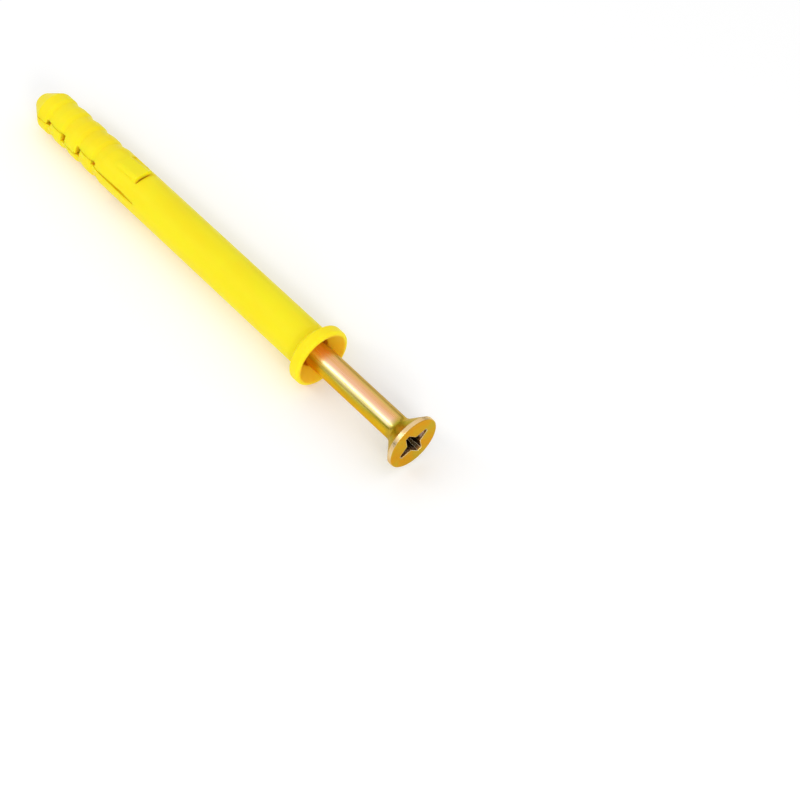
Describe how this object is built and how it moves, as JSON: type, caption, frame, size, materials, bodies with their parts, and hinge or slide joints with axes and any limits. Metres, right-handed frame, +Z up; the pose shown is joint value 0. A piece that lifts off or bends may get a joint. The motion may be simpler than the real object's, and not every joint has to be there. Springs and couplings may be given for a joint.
{
  "type": "long plastic expansion anchor with countersunk screw",
  "caption": "Long nylon frame anchor with a toothed, split expansion end, wings and a flared collar, and its countersunk cross-head screw pushed part of the way in.",
  "frame": {"origin": "middle of the footprint, on the surface that the anchor lies on", "axes": "+X from the nose to the screw's head, +Z up through the upper wing, -Y is the side with the split in view"},
  "size_m": [0.129, 0.0144, 0.0144],
  "materials": {
    "nylon": "moulded yellow nylon, satin",
    "zinc": "yellow-passivated zinc on drawn steel"
  },
  "bodies": {
    "root": {"sleeve": "nylon", "screw": "zinc"}
  },
  "joints": []
}
